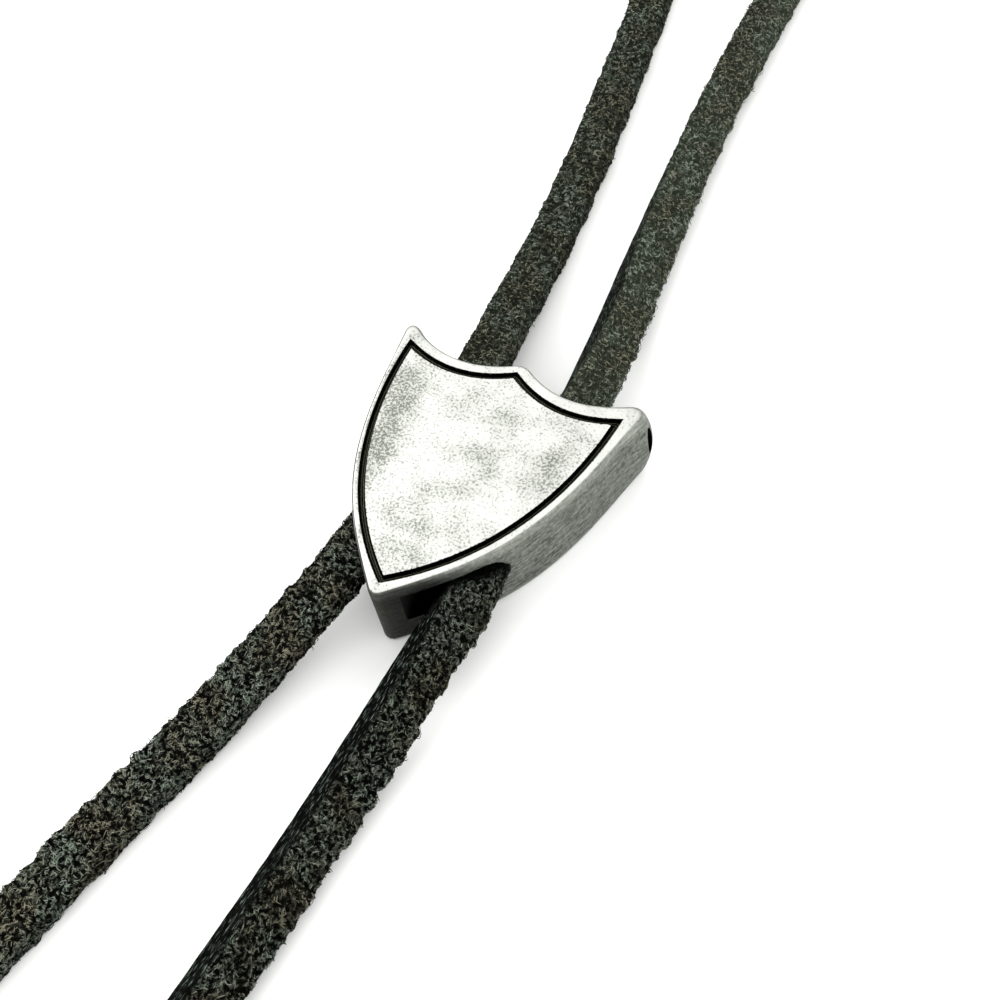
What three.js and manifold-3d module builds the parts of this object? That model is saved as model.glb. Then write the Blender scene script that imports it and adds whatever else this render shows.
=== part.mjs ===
// Leather pendant necklace: one flat leather lace, doubled, whose two ends run side by side
// through a cast shield slide and hang below it as tails.
//
// Millimetres, +Z up. The necklace lies on a table at z = 0 with the shield's face up and its
// point towards -Y. All sizes below are in the shield's own frame, whose origin is on the table
// just below the bottom point of the engraved line; the whole necklace is centred on x = y = 0 last.
import * as THREE from 'three';
import { mergeVertices } from 'three/addons/utils/BufferGeometryUtils.js';
import Module from 'manifold-3d';

const wasm = await Module();
wasm.setup();

// ---- Driving dimensions ---------------------------------------------------------------------

// The shield's two outlines: the engraved line on its face and the outer edge round it. shoulder
// is a top corner and cusp the peak between them; topSag is the dip of each top arc under its
// chord. upper and lower are the handles of each side's curve, down from the shoulder and up
// from the point at the bottom.
const ENGRAVED_LINE = {
  shoulder: { x: 9.7, y: 20.83 },
  cusp: 21.55,
  topSag: 1.3,
  upper: { x: 9.45, y: 13.4 },
  lower: { x: 6.93, y: 5.53 },
  point: 0.34,
};
const OUTER_EDGE = {
  shoulder: { x: 11.5, y: 23.35 },
  cusp: 23.0,
  topSag: 1.95,
  upper: { x: 9.6, y: 8.1 },
  lower: { x: 6.05, y: 4.85 },
  point: -1.38,
};

const SHIELD = { thickness: 7.8, edgeRound: 0.35, cornerRound: 1.0 };
const GROOVE = { width: 0.7, depth: 0.4 };

const SLOT = {
  floor: 3.0, // height of its floor above the table
  height: 4.0,
  cornerRound: 1.0,
  mouthHalf: 7.2, // half width where it opens through the two lower sides
  mouthY: 6.7,
  throatHalf: 9.2, // half width just inside the top edge
  throatY: 20.6,
  flareHalf: 11.4, // the top mouth breaks out through the shoulders
  flareY: 22.5,
  postHalf: 1.55, // the post that closes the slide's point
  postTop: 3.0,
  runOut: 6, // how far its cutter passes the slide's ends
};

const LACE = {
  width: 3.9,
  thickness: 2.3,
  corner: 0.4,
  clearance: 0.04, // under it where it lies on the table
  stepsPerStation: 3,
};

// Stations of the lace's centreline. lift is how far the lace's lowest edge is off the table, and
// lean is how many degrees its flat face leans over to the right.
const RIGHT_STRAND = [
  { x: 2.8, y: -43.5, lift: 0.0, lean: 46 },
  { x: 3.45, y: -36.0, lift: 0.0, lean: 49 },
  { x: 3.95, y: -28.0, lift: 0.0, lean: 51 },
  { x: 4.3, y: -21.0, lift: 0.0, lean: 51 },
  { x: 4.6, y: -14.4, lift: 0.2, lean: 50 },
  { x: 5.1, y: -7.4, lift: 1.3, lean: 44 },
  { x: 5.35, y: -0.5, lift: 2.9, lean: 28 },
  { x: 4.75, y: 7.0, lift: 3.3, lean: 15 },
  { x: 4.85, y: 15.0, lift: 3.3, lean: 15 },
  { x: 5.1, y: 22.5, lift: 3.2, lean: 19 },
  { x: 4.5, y: 29.0, lift: 1.6, lean: 34 },
  { x: 3.3, y: 35.5, lift: 0.4, lean: 40 },
  { x: 1.8, y: 45.0, lift: 0.0, lean: 29 },
  { x: 0.4, y: 56.0, lift: 0.0, lean: 20 },
  { x: -0.75, y: 68.0, lift: 0.0, lean: 15 },
  { x: -1.5, y: 81.2, lift: 0.0, lean: 4 },
  { x: -2.0, y: 96.0, lift: 0.0, lean: 0 },
];
const LEFT_STRAND = [
  { x: -15.2, y: -44.5, lift: 0.0, lean: 0 },
  { x: -13.2, y: -37.0, lift: 0.0, lean: 0 },
  { x: -11.7, y: -29.0, lift: 0.0, lean: 0 },
  { x: -10.1, y: -21.5, lift: 0.0, lean: 0 },
  { x: -8.35, y: -13.6, lift: 0.3, lean: 4 },
  { x: -6.5, y: -6.0, lift: 1.7, lean: 4 },
  { x: -5.15, y: 0.0, lift: 3.1, lean: 2 },
  { x: -4.7, y: 7.0, lift: 3.3, lean: 0 },
  { x: -4.6, y: 15.0, lift: 3.3, lean: 0 },
  { x: -4.8, y: 22.5, lift: 3.2, lean: 0 },
  { x: -5.95, y: 30.0, lift: 1.4, lean: 0 },
  { x: -7.6, y: 41.5, lift: 0.1, lean: 0 },
  { x: -9.3, y: 52.3, lift: 0.0, lean: 0 },
  { x: -11.5, y: 64.2, lift: 0.0, lean: 0 },
  { x: -14.05, y: 77.0, lift: 0.0, lean: 0 },
  { x: -17.4, y: 91.0, lift: 0.0, lean: 0 },
];

// The loop that goes round the neck: a teardrop leaning to the left as the strands do. Each row
// is a place on both of its sides, how far out from its middle line and how far up from its foot.
const NECK_LOOP = { foot: { x: -9.8, y: 93.5 }, lean: 9 };
const NECK_LOOP_SIDE = [
  { out: 9.6, along: 13 },
  { out: 14.8, along: 27 },
  { out: 24.0, along: 40 },
  { out: 35.0, along: 53 },
  { out: 45.5, along: 68 },
  { out: 54.0, along: 87 },
  { out: 58.0, along: 108 },
  { out: 56.0, along: 128 },
  { out: 47.0, along: 146 },
  { out: 31.0, along: 159 },
  { out: 11.0, along: 166 },
];

// How finely the shield is drawn.
const SIDE_STEPS = 20;
const TOP_STEPS = 10;
const CORNER_STEPS = 4;
const CORNER_MARGIN = 1.1; // outline points closer to a corner than this times its arc's reach go
const EDGE_STEPS = 3;
const POST_STEPS = 8;
const WELD = 1e-4; // points closer than this are one

// ---- Solids -----------------------------------------------------------------------------------

function toSolid(geometry) {
  const bare = geometry.clone();
  bare.deleteAttribute('normal');
  bare.deleteAttribute('uv');
  const merged = mergeVertices(bare, WELD);
  const mesh = new wasm.Mesh({
    numProp: 3,
    vertProperties: new Float32Array(merged.attributes.position.array),
    triVerts: new Uint32Array(merged.index.array),
  });
  return new wasm.Manifold(mesh);
}

function toGeometry(solid) {
  const mesh = solid.getMesh();
  const geometry = new THREE.BufferGeometry();
  geometry.setAttribute('position', new THREE.BufferAttribute(mesh.vertProperties, 3));
  geometry.setIndex(new THREE.BufferAttribute(mesh.triVerts, 1));
  geometry.computeVertexNormals();
  return geometry;
}

// ---- The shield's outline ---------------------------------------------------------------------

// Points of a circle's arc from one end of a chord to the other, dipping under it by sag.
function sagArc(from, to, sag, steps) {
  const chord = to.clone().sub(from);
  const half = chord.length() / 2;
  const radius = (half * half + sag * sag) / (2 * sag);
  const up = new THREE.Vector2(-chord.y, chord.x).normalize();
  const middle = from.clone().add(to).multiplyScalar(0.5);
  const centre = middle.addScaledVector(up, radius - sag);
  const start = from.clone().sub(centre).angle();
  const sweep = 2 * Math.asin(half / radius);
  const points = [];
  for (let i = 0; i <= steps; i += 1) {
    const angle = start + (sweep * i) / steps;
    points.push(new THREE.Vector2(Math.cos(angle), Math.sin(angle)).multiplyScalar(radius).add(centre));
  }
  return points;
}

// An outline's points, counter-clockwise from the bottom point, with its four corners marked.
function shieldLine(size) {
  const point = new THREE.Vector2(0, size.point);
  const shoulder = new THREE.Vector2(size.shoulder.x, size.shoulder.y);
  const cusp = new THREE.Vector2(0, size.cusp);
  const lower = new THREE.Vector2(size.lower.x, size.lower.y);
  const upper = new THREE.Vector2(size.upper.x, size.upper.y);
  const rightSide = new THREE.CubicBezierCurve(point, lower, upper, shoulder).getPoints(SIDE_STEPS);
  const rightTop = sagArc(cusp, shoulder, size.topSag, TOP_STEPS).reverse();
  const mirrored = (run) => run.map((p) => new THREE.Vector2(-p.x, p.y)).reverse();
  const runs = [rightSide, rightTop, mirrored(rightTop), mirrored(rightSide)];
  return runs.flatMap((run) => run.slice(0, -1).map((at, i) => ({ at, corner: i === 0 })));
}

// A line moved outwards by distance (inwards when negative), corners kept sharp.
function movedLine(line, distance) {
  return line.map(({ at, corner }, i) => {
    const before = line.at(i - 1).at;
    const after = line[(i + 1) % line.length].at;
    const arriving = at.clone().sub(before).normalize();
    const leaving = after.clone().sub(at).normalize();
    const outward = new THREE.Vector2(arriving.y + leaving.y, -arriving.x - leaving.x).normalize();
    const reach = distance / (outward.x * arriving.y - outward.y * arriving.x);
    return { at: at.clone().addScaledVector(outward, reach), corner };
  });
}

// The arc that turns one corner of a line, and how far from the corner it starts.
function cornerArc(line, i, radius) {
  const { at } = line[i];
  const back = line.at(i - 1).at.clone().sub(at).normalize();
  const ahead = line[(i + 1) % line.length].at.clone().sub(at).normalize();
  const halfAngle = Math.acos(back.dot(ahead)) / 2;
  const inward = back.clone().add(ahead).normalize();
  const centre = at.clone().addScaledVector(inward, radius / Math.sin(halfAngle));
  const sweep = Math.PI - 2 * halfAngle;
  const start = Math.atan2(-inward.y, -inward.x) - sweep / 2;
  const points = [];
  for (let k = 0; k <= CORNER_STEPS; k += 1) {
    const angle = start + (sweep * k) / CORNER_STEPS;
    points.push(new THREE.Vector2(Math.cos(angle), Math.sin(angle)).multiplyScalar(radius).add(centre));
  }
  return { at, reach: radius / Math.tan(halfAngle), points };
}

// A closed outline as a shape, with each marked corner turned through a small arc.
function roundedShape(line, radius) {
  const arcs = new Map();
  line.forEach(({ corner }, i) => {
    if (corner) arcs.set(i, cornerArc(line, i, radius));
  });
  const clear = (p) => [...arcs.values()].every((arc) => arc.at.distanceTo(p) > CORNER_MARGIN * arc.reach);
  return new THREE.Shape(
    line.flatMap(({ at }, i) => {
      if (arcs.has(i)) return arcs.get(i).points;
      return clear(at) ? [at] : [];
    }),
  );
}

const sharpShape = (line) => new THREE.Shape(line.map(({ at }) => at));

// ---- Pieces -----------------------------------------------------------------------------------

function shieldBlank() {
  const { cornerRound, thickness, edgeRound } = SHIELD;
  const blank = new THREE.ExtrudeGeometry(roundedShape(shieldLine(OUTER_EDGE), cornerRound), {
    depth: thickness - 2 * edgeRound,
    bevelThickness: edgeRound,
    bevelSize: edgeRound,
    bevelOffset: -edgeRound,
    bevelSegments: EDGE_STEPS,
  });
  return toSolid(blank.translate(0, 0, edgeRound));
}

function engraving() {
  const { width, depth } = GROOVE;
  const line = shieldLine(ENGRAVED_LINE);
  const ring = sharpShape(movedLine(line, width / 2));
  ring.holes.push(new THREE.Path(sharpShape(movedLine(line, -width / 2)).getPoints()));
  const cut = new THREE.ExtrudeGeometry(ring, { depth: 2 * depth, bevelEnabled: false });
  return toSolid(cut.translate(0, 0, SHIELD.thickness - depth));
}

// One flat slot from the two lower sides up to the top edge, wider at the top, around the post.
function laceSlot() {
  const { floor, height, cornerRound } = SLOT;
  const below = OUTER_EDGE.point - SLOT.runOut;
  const above = OUTER_EDGE.shoulder.y + SLOT.runOut;
  const rightSide = [
    [SLOT.mouthHalf, below],
    [SLOT.mouthHalf, SLOT.mouthY],
    [SLOT.throatHalf, SLOT.throatY],
    [SLOT.flareHalf, SLOT.flareY],
    [SLOT.flareHalf, above],
  ];
  const leftSide = rightSide.map(([x, y]) => [-x, y]).reverse();
  const plan = new THREE.Shape([...rightSide, ...leftSide].map(([x, y]) => new THREE.Vector2(x, y)));
  const slot = new THREE.ExtrudeGeometry(plan, {
    depth: height - 2 * cornerRound,
    bevelThickness: cornerRound,
    bevelSize: cornerRound,
    bevelOffset: -cornerRound,
    bevelSegments: EDGE_STEPS,
  }).translate(0, 0, floor + cornerRound);

  const root = below - SLOT.runOut;
  const post = new THREE.Shape();
  post.moveTo(-SLOT.postHalf, root);
  post.lineTo(SLOT.postHalf, root);
  post.absarc(0, SLOT.postTop, SLOT.postHalf, 0, Math.PI, false);
  post.closePath();
  const postSolid = new THREE.ExtrudeGeometry(post, {
    depth: SHIELD.thickness,
    bevelEnabled: false,
    curveSegments: POST_STEPS,
  });
  return toSolid(slot).subtract(toSolid(postSolid));
}

function shieldSlide() {
  return toGeometry(shieldBlank().subtract(laceSlot()).subtract(engraving()));
}

// Stations along the neck loop, from where the right strand joins it round to the left strand.
function neckLoop() {
  const { foot, lean } = NECK_LOOP;
  const turn = THREE.MathUtils.degToRad(lean);
  const station = (out, along) => ({
    x: foot.x + out * Math.cos(turn) - along * Math.sin(turn),
    y: foot.y + out * Math.sin(turn) + along * Math.cos(turn),
    lift: 0,
    lean: 0,
  });
  const rightSide = NECK_LOOP_SIDE.map(({ out, along }) => station(out, along));
  const leftSide = NECK_LOOP_SIDE.map(({ out, along }) => station(-out, along)).reverse();
  return [...rightSide, ...leftSide];
}

// The height of the centreline where the lace leans over and its lowest edge is lifted.
function centreHeight({ lift, lean }) {
  const angle = THREE.MathUtils.degToRad(lean);
  const tall = LACE.width * Math.sin(angle) + LACE.thickness * Math.cos(angle);
  return LACE.clearance + lift + tall / 2;
}

// The lace's centreline. Its frames keep the flat face up, apart from the roll at each station.
class LaceRoute extends THREE.CatmullRomCurve3 {
  constructor(stations) {
    super(stations.map((row) => new THREE.Vector3(row.x, row.y, centreHeight(row))));
    this.roll = stations.map(({ roll }) => THREE.MathUtils.degToRad(roll));
  }

  // Steps follow the stations, so they are short at the slide and long round the neck.
  getSpacedPoints(divisions) {
    return this.getPoints(divisions);
  }

  rollAt(t) {
    const place = t * (this.roll.length - 1);
    const i = Math.min(Math.floor(place), this.roll.length - 2);
    return THREE.MathUtils.lerp(this.roll[i], this.roll[i + 1], place - i);
  }

  computeFrenetFrames(segments) {
    const up = new THREE.Vector3(0, 0, 1);
    const frames = { tangents: [], normals: [], binormals: [] };
    for (let i = 0; i <= segments; i += 1) {
      const tangent = this.getTangent(i / segments);
      const across = up.clone().cross(tangent).normalize().applyAxisAngle(tangent, this.rollAt(i / segments));
      frames.tangents.push(tangent);
      frames.normals.push(across);
      frames.binormals.push(tangent.clone().cross(across));
    }
    return frames;
  }
}

function leatherLace() {
  const right = RIGHT_STRAND.map((row) => ({ ...row, roll: row.lean }));
  const left = LEFT_STRAND.map((row) => ({ ...row, roll: -row.lean })).reverse();
  const loop = neckLoop().map((row) => ({ ...row, roll: row.lean }));
  const stations = [...right, ...loop, ...left];
  const route = new LaceRoute(stations);

  const w = LACE.width / 2;
  const t = LACE.thickness / 2;
  const c = LACE.corner;
  const section = new THREE.Shape([
    new THREE.Vector2(w - c, -t),
    new THREE.Vector2(w, c - t),
    new THREE.Vector2(w, t - c),
    new THREE.Vector2(w - c, t),
    new THREE.Vector2(c - w, t),
    new THREE.Vector2(-w, t - c),
    new THREE.Vector2(-w, c - t),
    new THREE.Vector2(c - w, -t),
  ]);
  const steps = (stations.length - 1) * LACE.stepsPerStation;
  return new THREE.ExtrudeGeometry(section, { steps, extrudePath: route });
}

// ---- Assembly -----------------------------------------------------------------------------------

function piece(name, geometry, finish) {
  const mesh = new THREE.Mesh(geometry, new THREE.MeshStandardMaterial(finish));
  mesh.name = name;
  return mesh;
}

const necklace = new THREE.Group();
necklace.add(
  piece('shield_slide', shieldSlide(), { color: 0xb9bab6, roughness: 0.35, metalness: 1.0 }),
  piece('leather_lace', leatherLace(), { color: 0x2b302e, roughness: 0.95, metalness: 0.0 }),
);

const middle = new THREE.Box3().setFromObject(necklace).getCenter(new THREE.Vector3());
necklace.position.set(-middle.x, -middle.y, 0);

export default necklace;
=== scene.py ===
"""Leather pendant necklace: a doubled flat suede lace through a cast and antiqued shield slide."""

import math

import bmesh
import bpy
import numpy as np
from mathutils import Euler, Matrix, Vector


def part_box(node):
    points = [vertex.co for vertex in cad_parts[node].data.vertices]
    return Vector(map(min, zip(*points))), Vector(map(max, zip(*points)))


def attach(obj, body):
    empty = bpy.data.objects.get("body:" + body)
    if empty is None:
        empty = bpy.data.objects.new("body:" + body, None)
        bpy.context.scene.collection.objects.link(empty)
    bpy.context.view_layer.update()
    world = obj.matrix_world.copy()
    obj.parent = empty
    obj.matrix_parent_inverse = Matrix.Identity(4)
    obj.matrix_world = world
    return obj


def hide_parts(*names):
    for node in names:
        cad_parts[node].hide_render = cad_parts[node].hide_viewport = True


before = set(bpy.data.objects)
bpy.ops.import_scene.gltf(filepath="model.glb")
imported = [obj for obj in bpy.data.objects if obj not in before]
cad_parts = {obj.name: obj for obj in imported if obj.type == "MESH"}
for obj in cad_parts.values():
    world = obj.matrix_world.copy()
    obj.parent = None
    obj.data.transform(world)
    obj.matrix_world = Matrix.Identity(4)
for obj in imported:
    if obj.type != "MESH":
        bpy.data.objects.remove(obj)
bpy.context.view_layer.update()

MM = 0.001

# All sizes below are in millimetres in the shield's own frame: the origin lies on the table under
# the bottom point of the engraved line, +Y runs up the shield and +Z out of its face.
POINT_BELOW_LINE = 0.95
slide_low, slide_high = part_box("shield_slide")
HOME = Vector(((slide_low.x + slide_high.x) / 2, slide_low.y + POINT_BELOW_LINE * MM, 0))


def table(columns, *rows):
    """A list of sizes: each row under the names of its columns."""
    return [dict(zip(columns.split(), row)) for row in rows]


# ---- The shield's sizes ----

# The right half of each outline: a side that leaves the point towards lower and comes up to the
# shoulder from upper, then a sagging top that runs in to the cusp in the middle.
ENGRAVED_LINE = {
    "shoulder": (9.7, 20.83),
    "cusp": (0, 21.55),
    "top_sag": 1.3,
    "upper": (9.45, 13.4),
    "lower": (6.93, 5.53),
    "point": (0, 0.34),
}
OUTER_EDGE = {
    "shoulder": (11.14, 23.1),
    "cusp": (0, 22.92),
    "top_sag": 1.9,
    "upper": (9.5, 8.1),
    "lower": (6.18, 4.8),
    "point": (0, -1.38),
    "slant": 0.005,  # how far the top stands to the right, for each mm of its height
    "aside": 0.06,  # how far all of it stands to the right
    "right_up": 0.3,  # how much higher its right arch stands than its left
}
# The right arch's lift eases in from the first of each pair to the second: in x from the middle and
# from outside, in y from below.
RIGHT_ARCH = {"from_middle": (3, 7.5), "from_outside": (12, 9), "from_below": (15, 21)}
OUTLINE_MIDDLE = (-9.0, 30.0)  # the middle line that halves an outline, from below it to above it
OUTLINE_RUN_ON = 3  # how far its lines are run on, so that they meet when moved
SIDE_STEPS = 130
TOP_STEPS = 60

THICK = 7.8
RIM_ROUND = 0.25
FOOT_ROUND = 0.5
FACE_MIDDLE = (0, 12.0)
# The length over which the outline is evened out, at its corners and in between.
CORNER_SOFT = {"right_shoulder": 1.8, "left_shoulder": 1.3, "cusp": 0.9, "point": 0.9}
SIDE_SOFT = 0.12
CORNER_FADE = (1.6, 0.6)  # where that fades from none to all of it, in lengths from the corner
# How far the shoulders bulge halfway up the wall, and draw in at its foot.
SHOULDER_SWELL = {"right": 1.05, "left": 0.75, "reach": 2.8, "fullness": 0.6, "foot": -0.2}

GROOVE_HALF = 0.3
GROOVE_DEPTH = 0.4
# From the groove's edge to its middle, as shares of its half width and of its depth.
GROOVE_WALL = [(0.95, 0.06), (0.88, 0.3), (0.8, 0.7), (0.65, 0.93), (0.35, 0.99), (0.0, 1.0)]

SLOT_FLOOR = 2.8
SLOT_CEILING = 6.5
# How wide the slot is on its way up the shield, and how far its rounded ends reach in from there.
SLOT_STATIONS = table(
    "y half round",
    (-7.0, 7.0, 1.1),
    (7.5, 7.0, 1.1),
    (14.0, 8.2, 2.0),
    (20.4, 9.8, 1.6),
    (21.2, 10.8, 1.4),
    (21.8, 12.0, 1.2),
    (22.1, 12.5, 1.2),
    (22.4, 12.3, 1.2),
    (22.8, 11.3, 1.4),
    (23.3, 10.9, 1.6),
    (29.0, 10.9, 1.6),
)
# Past its round end, the post only has to reach out of the slot all round.
POST = {"half": 1.55, "top": 3.0, "bottom": -12, "low": 1.0, "high": THICK - 0.2}

# Where the buffed face has greyed: soft patches, each with its middle, half sizes and strength.
TARNISH = table(
    "x y across along strength",
    (-7.6, 16.8, 1.3, 2.8, 0.68),
    (-7.0, 11.7, 1.15, 3.2, 0.9),
    (-6.1, 8.8, 0.9, 1.7, 0.62),
    (1.9, 13.8, 1.0, 0.8, 0.46),
    (2.7, 12.0, 0.9, 0.9, 0.42),
    (1.5, 10.2, 1.3, 1.4, 0.35),
    (0.8, 13.4, 0.7, 0.6, 0.3),
    (1.2, 16.6, 1.1, 1.4, 0.3),
    (2.4, 18.2, 1.3, 0.8, 0.25),
    (-1.8, 18.0, 1.4, 1.1, 0.28),
    (-2.2, 16.0, 0.9, 0.9, 0.25),
    (7.1, 14.9, 1.2, 1.5, 0.5),
    (7.3, 17.6, 1.0, 1.8, 0.28),
    (6.3, 12.6, 1.0, 1.3, 0.35),
    (-1.0, 5.2, 1.6, 0.7, 0.5),
    (0.7, 5.5, 1.0, 0.6, 0.4),
    (-0.9, 7.0, 0.9, 0.8, 0.4),
    (-3.2, 6.8, 1.0, 0.7, 0.35),
    (3.0, 6.4, 1.2, 0.8, 0.35),
    (0.0, 2.8, 2.2, 1.5, 0.38),
    (-1.0, 9.0, 0.8, 0.7, 0.25),
    (-9.6, 21.9, 1.1, 0.8, 0.45),
    (-6.3, 22.0, 2.2, 0.5, 0.4),
    (8.2, 22.3, 1.8, 0.5, 0.35),
    (-9.95, 17.8, 0.4, 2.4, 0.65),
    (-9.0, 13.0, 0.45, 1.9, 0.65),
    (-7.6, 9.0, 0.6, 1.5, 0.6),
    (-5.6, 5.6, 0.6, 1.2, 0.55),
    (-3.6, 2.7, 0.6, 1.0, 0.5),
    (0.0, -0.4, 1.2, 0.6, 0.35),
)
TARNISH_FADE = 1.4  # how gently each patch ends

# ---- The lace's sizes ----

LACE_WIDTH = 3.9
LACE_THICK = 2.3
LACE_CORNER = 0.35
LACE_CLEARANCE = 0.04
SLIDE_SHADE_REACH = 0.8  # how far out of the slide the lace is still painted in its shade

# Stations of the lace's middle line. lift is how far its lowest edge is off the table, lean how
# many degrees its face leans over to the right; left and right are how much nap each edge has.
RIGHT_STRAND = table(
    "x y lift lean left right",
    (2.8, -43.5, 0.0, 46, 0.15, 1.0),
    (3.45, -36.0, 0.0, 49, 0.05, 1.0),
    (3.95, -28.0, 0.0, 51, 0.05, 1.0),
    (4.3, -21.0, 0.0, 51, 0.05, 1.0),
    (4.55, -14.4, 0.2, 53, 0.0, 1.0),
    (5.0, -7.4, 1.2, 53, 0.0, 1.0),
    (5.25, -1.8, 1.8, 51, 0.0, 1.0),
    (5.45, 3.4, 2.35, 25, 0.1, 1.0),
    (4.9, 8.0, 2.8, 7, 0.3, 0.6),
    (4.9, 15.0, 2.8, 9, 0.3, 0.6),
    (5.17, 22.5, 2.8, 16, 0.1, 1.0),
    (4.48, 29.0, 1.6, 39, 0.05, 1.0),
    (3.3, 35.5, 0.4, 43, 0.05, 1.0),
    (1.8, 45.0, 0.0, 29, 0.1, 1.0),
    (0.4, 56.0, 0.0, 20, 0.2, 1.0),
    (-0.75, 68.0, 0.0, 15, 0.4, 1.0),
    (-1.5, 81.2, 0.0, 4, 0.8, 0.9),
    (-2.0, 96.0, 0.0, 0, 1.0, 0.9),
)
LEFT_STRAND = table(
    "x y lift lean left right",
    (-15.45, -44.5, 0.0, 0, 0.9, 1.0),
    (-13.15, -37.0, 0.0, 0, 0.9, 1.0),
    (-11.6, -29.0, 0.0, 0, 0.9, 1.0),
    (-10.2, -21.5, 0.0, 0, 0.8, 1.0),
    (-8.35, -13.6, 0.3, 4, 0.6, 1.0),
    (-6.5, -6.0, 1.7, 4, 0.4, 1.0),
    (-5.15, 0.0, 2.8, 2, 0.3, 1.0),
    (-4.7, 7.0, 2.9, 0, 0.3, 0.6),
    (-4.6, 15.0, 2.9, 0, 0.3, 0.6),
    (-4.7, 22.5, 2.9, 0, 0.05, 1.0),
    (-6.0, 30.0, 1.4, 0, 0.05, 1.0),
    (-7.6, 41.5, 0.1, 0, 0.05, 1.0),
    (-9.3, 52.3, 0.0, 0, 0.05, 1.0),
    (-11.5, 64.2, 0.0, 0, 0.15, 1.0),
    (-14.05, 77.0, 0.0, 0, 0.3, 0.9),
    (-17.4, 91.0, 0.0, 0, 0.4, 0.9),
)
NECK_LOOP_FOOT = (-9.8, 93.5)
NECK_LOOP_LEAN = 9
NECK_LOOP_EDGES = {"lift": 0, "lean": 0, "left": 0.8, "right": 0.9}
NECK_LOOP_SIDE = table(
    "out along",
    (9.6, 13),
    (14.8, 27),
    (24.0, 40),
    (35.0, 53),
    (45.5, 68),
    (54.0, 87),
    (58.0, 108),
    (56.0, 128),
    (47.0, 146),
    (31.0, 159),
    (11.0, 166),
)

# Numbers of some stations, counted from the right tail's end round the neck to the left tail's.
SLIDE_RIGHT = 8
LOOP_START = len(RIGHT_STRAND) - 1
LOOP_END = len(RIGHT_STRAND) + 2 * len(NECK_LOOP_SIDE)
SLIDE_LEFT = 48
LAST = LOOP_END + len(LEFT_STRAND) - 1

# The nap: for each stretch of the lace, from one station to another, how many fibres stand on it,
# how long they are, how thick at the root, how many points each has and how pale they may be:
# partly from dye rubbed off and partly painted light, most on the left tail. The stretches by the
# shield are the ones seen close up; round the neck they are fewer and coarser.
NAP = table(
    "piece from to fibres long thick points pale",
    ("nap_right_tail", 0, SLIDE_RIGHT, 8000, 0.75, 0.11, 5, 0.9),
    ("nap_right_strand", SLIDE_RIGHT, LOOP_START, 11000, 0.65, 0.11, 4, 1.45),
    ("nap_neck_loop", LOOP_START, LOOP_END, 5000, 1.25, 0.13, 4, 1.0),
    ("nap_left_strand", LOOP_END, SLIDE_LEFT, 11000, 0.65, 0.11, 4, 1.1),
    ("nap_left_tail", SLIDE_LEFT, LAST, 8000, 0.75, 0.11, 5, 2.1),
)
# Most fibres leave the skin at a low slope, in degrees, and curl back down; a few stand up as
# whiskers. fall is how much of the slope goes at each point.
LYING = {"slope": (8, 45), "fall": (0.4, 0.9), "tallest": 0.2}
WHISKER = {"share": 0.013, "slope": 60, "fall": 0.1, "tallest": 0.55}
# How a fibre varies: its length, as shares of its stretch's; the turn it keeps (curl) and the turn
# by chance (kink), in radians a point; and its root's height over the skin.
FIBRE = {"length": (0.55, 1.45), "curl": 0.45, "kink": 0.25, "root": -0.04}
IN_SLIDE = {"from": 5, "to": 21, "tallest": 0.1}  # the slide presses the fibres flat there
UNDERSIDE_BARE = 0.75  # how much of the nap the underside lacks
# The skin's unevenness: lumps of a size, their height where it is smooth, and what nap adds.
LUMPS = table(
    "size height nap seed",
    (1.0, 0.02, 0.17, 11),
    (0.5, 0.01, 0.13, 12),
)
ROUTE_LIMIT = 900  # longer than the lace
SKIN_STEP = {"near": 0.25, "far": 1.4}

# ---- Outlines of the shield ----


def unit(vectors):
    return vectors / np.linalg.norm(vectors, axis=-1, keepdims=True)


def ramp(value, start, end):
    """0 up to start, rising evenly to 1 at end and beyond it; start may be the greater."""
    return np.clip((value - start) / (end - start), 0, 1)


def bezier(start, first, second, end, steps):
    t = np.linspace(0, 1, steps)[:, None]
    first_half = (1 - t) ** 3 * np.array(start) + 3 * (1 - t) ** 2 * t * np.array(first)
    return first_half + 3 * (1 - t) * t**2 * np.array(second) + t**3 * np.array(end)


def sagging_line(start, end, sag, steps):
    """From one corner to the next, dipping to the left of the way by sag."""
    start, end = np.array(start, float), np.array(end, float)
    t = np.linspace(0, 1, steps)[:, None]
    way = (end - start) / np.linalg.norm(end - start)
    return start + (end - start) * t + np.array((-way[1], way[0])) * 4 * sag * t * (1 - t)


def beside(line, distance):
    """The line run on straight at both ends, and moved outwards by distance."""
    before = line[0] + unit(line[0] - line[1]) * OUTLINE_RUN_ON
    after = line[-1] + unit(line[-1] - line[-2]) * OUTLINE_RUN_ON
    line = np.concatenate([[before], line, [after]])
    way = unit(np.gradient(line, axis=0))
    return line + np.stack((way[:, 1], -way[:, 0]), 1) * distance


def meeting(first, second):
    """Where two lines first cross, counted in points along each."""
    a, b = first[:-1, None], second[None, :-1]
    u, w = np.diff(first, axis=0)[:, None], np.diff(second, axis=0)[None]
    gap = b - a
    never_zero = 1e-12
    cross = u[..., 0] * w[..., 1] - u[..., 1] * w[..., 0] + never_zero
    t = (gap[..., 0] * w[..., 1] - gap[..., 1] * w[..., 0]) / cross
    s = (gap[..., 0] * u[..., 1] - gap[..., 1] * u[..., 0]) / cross
    i, j = np.argwhere((t >= 0) & (t < 1) & (s >= 0) & (s < 1))[0]
    return i + t[i, j], j + s[i, j]


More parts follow.
